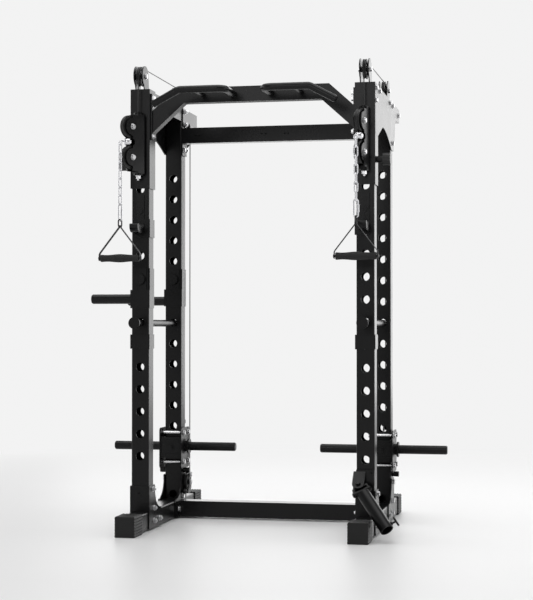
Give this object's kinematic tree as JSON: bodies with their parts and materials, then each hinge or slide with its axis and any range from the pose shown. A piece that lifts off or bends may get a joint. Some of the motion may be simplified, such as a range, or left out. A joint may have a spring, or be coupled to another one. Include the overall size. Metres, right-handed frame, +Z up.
{
  "type": "power cage",
  "caption": "Power cage with drilled uprights, sliding weight carriages on cables and pulleys, swivelling high pulleys, pull-up bar, J-cups, pin-pipe safeties and a landmine sleeve.",
  "frame": {"origin": "on the floor under the middle of the base", "axes": "+X to the right as a person faces the cage from the front, +Y to the back, +Z up"},
  "size_m": [1.624, 1.18, 2.09],
  "materials": {
    "frame_steel": "black powder coat, fine grain",
    "carriage_steel": "black powder coat",
    "bolt_chrome": "polished zinc",
    "chain_chrome": "polished chrome",
    "roller_steel": "turned bright steel",
    "cap_rubber": "ribbed black rubber",
    "pulley_nylon": "black nylon",
    "grip_rubber": "soft black foam rubber",
    "strap_nylon": "black webbing",
    "cable_steel": "black coated steel cable",
    "knob_plastic": "moulded black plastic"
  },
  "bodies": {
    "root": {"base_tube_left": "frame_steel", "base_tube_right": "frame_steel", "base_end_caps": "cap_rubber", "upright_front_left": "frame_steel", "upright_front_right": "frame_steel", "upright_rear_left": "frame_steel", "upright_rear_right": "frame_steel", "foot_brackets": "frame_steel", "rear_lower_crossmember": "frame_steel", "rear_upper_crossmember": "frame_steel", "top_side_beams": "frame_steel", "side_plates": "frame_steel", "pull_up_bar": "frame_steel", "grip_bars": "frame_steel", "pulley_towers": "frame_steel", "rear_pulley_brackets": "frame_steel", "frame_bolts": "bolt_chrome", "storage_pegs": "frame_steel", "collars_and_stops": "frame_steel", "landmine_bracket": "frame_steel", "fixed_cables": "cable_steel", "lift_cable_left": "cable_steel", "lift_cable_right": "cable_steel"},
    "carriage_left": {"carriage_left": "carriage_steel"},
    "roller_left_upper": {"roller_left_upper": "roller_steel"},
    "roller_left_lower": {"roller_left_lower": "roller_steel"},
    "lift_pulley_left": {"lift_pulley_left": "pulley_nylon"},
    "rear_top_pulley_left": {"rear_top_pulley_left": "pulley_nylon"},
    "front_top_pulley_left": {"front_top_pulley_left": "pulley_nylon"},
    "return_pulley_left": {"return_pulley_left": "pulley_nylon"},
    "low_pulley_left": {"low_pulley_left": "pulley_nylon"},
    "swivel_left": {"swivel_block_left": "frame_steel"},
    "swivel_pulley_left_upper": {"swivel_pulley_left_upper": "pulley_nylon"},
    "swivel_pulley_left_lower": {"swivel_pulley_left_lower": "pulley_nylon"},
    "handle_left": {"pull_chain_left": "chain_chrome", "handle_strap_left": "strap_nylon"},
    "handle_grip_left": {"handle_grip_left": "grip_rubber"},
    "j_cup_left": {"j_cup_left": "frame_steel"},
    "safety_pipe_left": {"safety_pipe_left": "frame_steel"},
    "pull_pin_left": {"pull_pin_left": "knob_plastic"},
    "carriage_right": {"carriage_right": "carriage_steel"},
    "roller_right_upper": {"roller_right_upper": "roller_steel"},
    "roller_right_lower": {"roller_right_lower": "roller_steel"},
    "lift_pulley_right": {"lift_pulley_right": "pulley_nylon"},
    "rear_top_pulley_right": {"rear_top_pulley_right": "pulley_nylon"},
    "front_top_pulley_right": {"front_top_pulley_right": "pulley_nylon"},
    "return_pulley_right": {"return_pulley_right": "pulley_nylon"},
    "low_pulley_right": {"low_pulley_right": "pulley_nylon"},
    "swivel_right": {"swivel_block_right": "frame_steel"},
    "swivel_pulley_right_upper": {"swivel_pulley_right_upper": "pulley_nylon"},
    "swivel_pulley_right_lower": {"swivel_pulley_right_lower": "pulley_nylon"},
    "handle_right": {"pull_chain_right": "chain_chrome", "handle_strap_right": "strap_nylon"},
    "handle_grip_right": {"handle_grip_right": "grip_rubber"},
    "j_cup_right": {"j_cup_right": "frame_steel"},
    "safety_pipe_right": {"safety_pipe_right": "frame_steel"},
    "pull_pin_right": {"pull_pin_right": "knob_plastic"},
    "landmine_yoke": {"landmine_yoke": "frame_steel"},
    "landmine_sleeve": {"landmine_sleeve": "frame_steel"}
  },
  "joints": [
    {"name": "carriage_left_slide", "type": "slide", "parent": "root", "child": "carriage_left", "axis": [0, 0, 1], "range_m": [0, 0.49], "deforming": ["lift_cable_left"]},
    {"name": "roller_left_upper_spin", "type": "hinge", "parent": "carriage_left", "child": "roller_left_upper", "pos_m": [-0.51, 0.2027, 0.40399], "axis": [1, 0, 0], "continuous": true},
    {"name": "roller_left_lower_spin", "type": "hinge", "parent": "carriage_left", "child": "roller_left_lower", "pos_m": [-0.51, 0.2027, 0.26399], "axis": [1, 0, 0], "continuous": true},
    {"name": "lift_pulley_left_spin", "type": "hinge", "parent": "carriage_left", "child": "lift_pulley_left", "pos_m": [-0.51, 0.3625, 0.44799], "axis": [1, 0, 0], "continuous": true},
    {"name": "rear_top_pulley_left_spin", "type": "hinge", "parent": "root", "child": "rear_top_pulley_left", "pos_m": [-0.51, 0.2925, 2.043], "axis": [1, 0, 0], "continuous": true},
    {"name": "front_top_pulley_left_spin", "type": "hinge", "parent": "root", "child": "front_top_pulley_left", "pos_m": [-0.51, -0.3465, 2.043], "axis": [1, 0, 0], "continuous": true},
    {"name": "return_pulley_left_spin", "type": "hinge", "parent": "root", "child": "return_pulley_left", "pos_m": [-0.4805, 0.348, 1.85357], "axis": [0.8183, 0.5748, 0], "continuous": true},
    {"name": "low_pulley_left_spin", "type": "hinge", "parent": "root", "child": "low_pulley_left", "pos_m": [-0.451, 0.2655, 0.16], "axis": [1, 0, 0], "continuous": true},
    {"name": "swivel_left_turn", "type": "hinge", "parent": "root", "child": "swivel_left", "pos_m": [-0.51, -0.389, 1.738], "axis": [0, 0, 1], "range_deg": [-45, 105]},
    {"name": "swivel_pulley_left_upper_spin", "type": "hinge", "parent": "swivel_left", "child": "swivel_pulley_left_upper", "pos_m": [-0.535, -0.4323, 1.806], "axis": [0.866, -0.5, 0], "continuous": true},
    {"name": "swivel_pulley_left_lower_spin", "type": "hinge", "parent": "swivel_left", "child": "swivel_pulley_left_lower", "pos_m": [-0.535, -0.4323, 1.67], "axis": [0.866, -0.5, 0], "continuous": true},
    {"name": "handle_left_pull", "type": "slide", "parent": "swivel_left", "child": "handle_left", "axis": [-0.5, -0.866, 0], "range_m": [0, 0.98]},
    {"name": "handle_grip_left_spin", "type": "hinge", "parent": "handle_left", "child": "handle_grip_left", "pos_m": [-0.565, -0.48426, 1.21839], "axis": [1, 0, 0], "continuous": true},
    {"name": "j_cup_left_turn", "type": "hinge", "parent": "root", "child": "j_cup_left", "pos_m": [-0.51, -0.354, 1.435], "axis": [0, -1, 0], "range_deg": [0, 80]},
    {"name": "safety_pipe_left_slide", "type": "slide", "parent": "root", "child": "safety_pipe_left", "axis": [0, -1, 0], "range_m": [0, 0.57]},
    {"name": "pull_pin_left_pull", "type": "slide", "parent": "root", "child": "pull_pin_left", "axis": [-1, 0, 0], "range_m": [0, 0.014], "stiffness_N_per_m": 600},
    {"name": "carriage_right_slide", "type": "slide", "parent": "root", "child": "carriage_right", "axis": [0, 0, 1], "range_m": [0, 0.49], "deforming": ["lift_cable_right"]},
    {"name": "roller_right_upper_spin", "type": "hinge", "parent": "carriage_right", "child": "roller_right_upper", "pos_m": [0.51, 0.2027, 0.40399], "axis": [1, 0, 0], "continuous": true},
    {"name": "roller_right_lower_spin", "type": "hinge", "parent": "carriage_right", "child": "roller_right_lower", "pos_m": [0.51, 0.2027, 0.26399], "axis": [1, 0, 0], "continuous": true},
    {"name": "lift_pulley_right_spin", "type": "hinge", "parent": "carriage_right", "child": "lift_pulley_right", "pos_m": [0.51, 0.3625, 0.44799], "axis": [1, 0, 0], "continuous": true},
    {"name": "rear_top_pulley_right_spin", "type": "hinge", "parent": "root", "child": "rear_top_pulley_right", "pos_m": [0.51, 0.2925, 2.043], "axis": [1, 0, 0], "continuous": true},
    {"name": "front_top_pulley_right_spin", "type": "hinge", "parent": "root", "child": "front_top_pulley_right", "pos_m": [0.51, -0.3465, 2.043], "axis": [1, 0, 0], "continuous": true},
    {"name": "return_pulley_right_spin", "type": "hinge", "parent": "root", "child": "return_pulley_right", "pos_m": [0.4805, 0.348, 1.85357], "axis": [0.8183, -0.5748, 0], "continuous": true},
    {"name": "low_pulley_right_spin", "type": "hinge", "parent": "root", "child": "low_pulley_right", "pos_m": [0.451, 0.2655, 0.16], "axis": [1, 0, 0], "continuous": true},
    {"name": "swivel_right_turn", "type": "hinge", "parent": "root", "child": "swivel_right", "pos_m": [0.51, -0.389, 1.738], "axis": [0, 0, 1], "range_deg": [-64.5, 85.5]},
    {"name": "swivel_pulley_right_upper_spin", "type": "hinge", "parent": "swivel_right", "child": "swivel_pulley_right_upper", "pos_m": [0.50089, -0.43816, 1.806], "axis": [0.9833, -0.1822, 0], "continuous": true},
    {"name": "swivel_pulley_right_lower_spin", "type": "hinge", "parent": "swivel_right", "child": "swivel_pulley_right_lower", "pos_m": [0.50089, -0.43816, 1.67], "axis": [0.9833, -0.1822, 0], "continuous": true},
    {"name": "handle_right_pull", "type": "slide", "parent": "swivel_right", "child": "handle_right", "axis": [-0.1822, -0.9833, 0], "range_m": [0, 0.98]},
    {"name": "handle_grip_right_spin", "type": "hinge", "parent": "handle_right", "child": "handle_grip_right", "pos_m": [0.48995, -0.49716, 1.21839], "axis": [1, 0, 0], "continuous": true},
    {"name": "j_cup_right_turn", "type": "hinge", "parent": "root", "child": "j_cup_right", "pos_m": [0.51, -0.354, 1.435], "axis": [0, 1, 0], "range_deg": [0, 80]},
    {"name": "safety_pipe_right_slide", "type": "slide", "parent": "root", "child": "safety_pipe_right", "axis": [0, -1, 0], "range_m": [0, 0.57]},
    {"name": "pull_pin_right_pull", "type": "slide", "parent": "root", "child": "pull_pin_right", "axis": [1, 0, 0], "range_m": [0, 0.014], "stiffness_N_per_m": 600},
    {"name": "landmine_yoke_turn", "type": "hinge", "parent": "root", "child": "landmine_yoke", "pos_m": [0.485, -0.398, 0.224], "axis": [0, -0.7071, 0.7071], "range_deg": [0, 40]},
    {"name": "landmine_sleeve_tilt", "type": "hinge", "parent": "landmine_yoke", "child": "landmine_sleeve", "pos_m": [0.50401, -0.41793, 0.20407], "axis": [0.829, 0.3954, 0.3954], "range_deg": [-46, 0]}
  ],
  "couplings": [
    {"joint": "roller_left_upper_spin", "follows": "carriage_left_slide", "rad_per_m": -111.11},
    {"joint": "roller_left_lower_spin", "follows": "carriage_left_slide", "rad_per_m": -111.11},
    {"joint": "lift_pulley_left_spin", "follows": "carriage_left_slide", "rad_per_m": -36.364},
    {"joint": "rear_top_pulley_left_spin", "follows": "carriage_left_slide", "rad_per_m": 47.059},
    {"joint": "front_top_pulley_left_spin", "follows": "carriage_left_slide", "rad_per_m": 47.059},
    {"joint": "swivel_pulley_left_upper_spin", "follows": "carriage_left_slide", "rad_per_m": -40},
    {"joint": "handle_left_pull", "follows": "carriage_left_slide", "ratio": 2},
    {"joint": "roller_right_upper_spin", "follows": "carriage_right_slide", "rad_per_m": -111.11},
    {"joint": "roller_right_lower_spin", "follows": "carriage_right_slide", "rad_per_m": -111.11},
    {"joint": "lift_pulley_right_spin", "follows": "carriage_right_slide", "rad_per_m": -36.364},
    {"joint": "rear_top_pulley_right_spin", "follows": "carriage_right_slide", "rad_per_m": 47.059},
    {"joint": "front_top_pulley_right_spin", "follows": "carriage_right_slide", "rad_per_m": 47.059},
    {"joint": "swivel_pulley_right_upper_spin", "follows": "carriage_right_slide", "rad_per_m": -40},
    {"joint": "handle_right_pull", "follows": "carriage_right_slide", "ratio": 2}
  ]
}
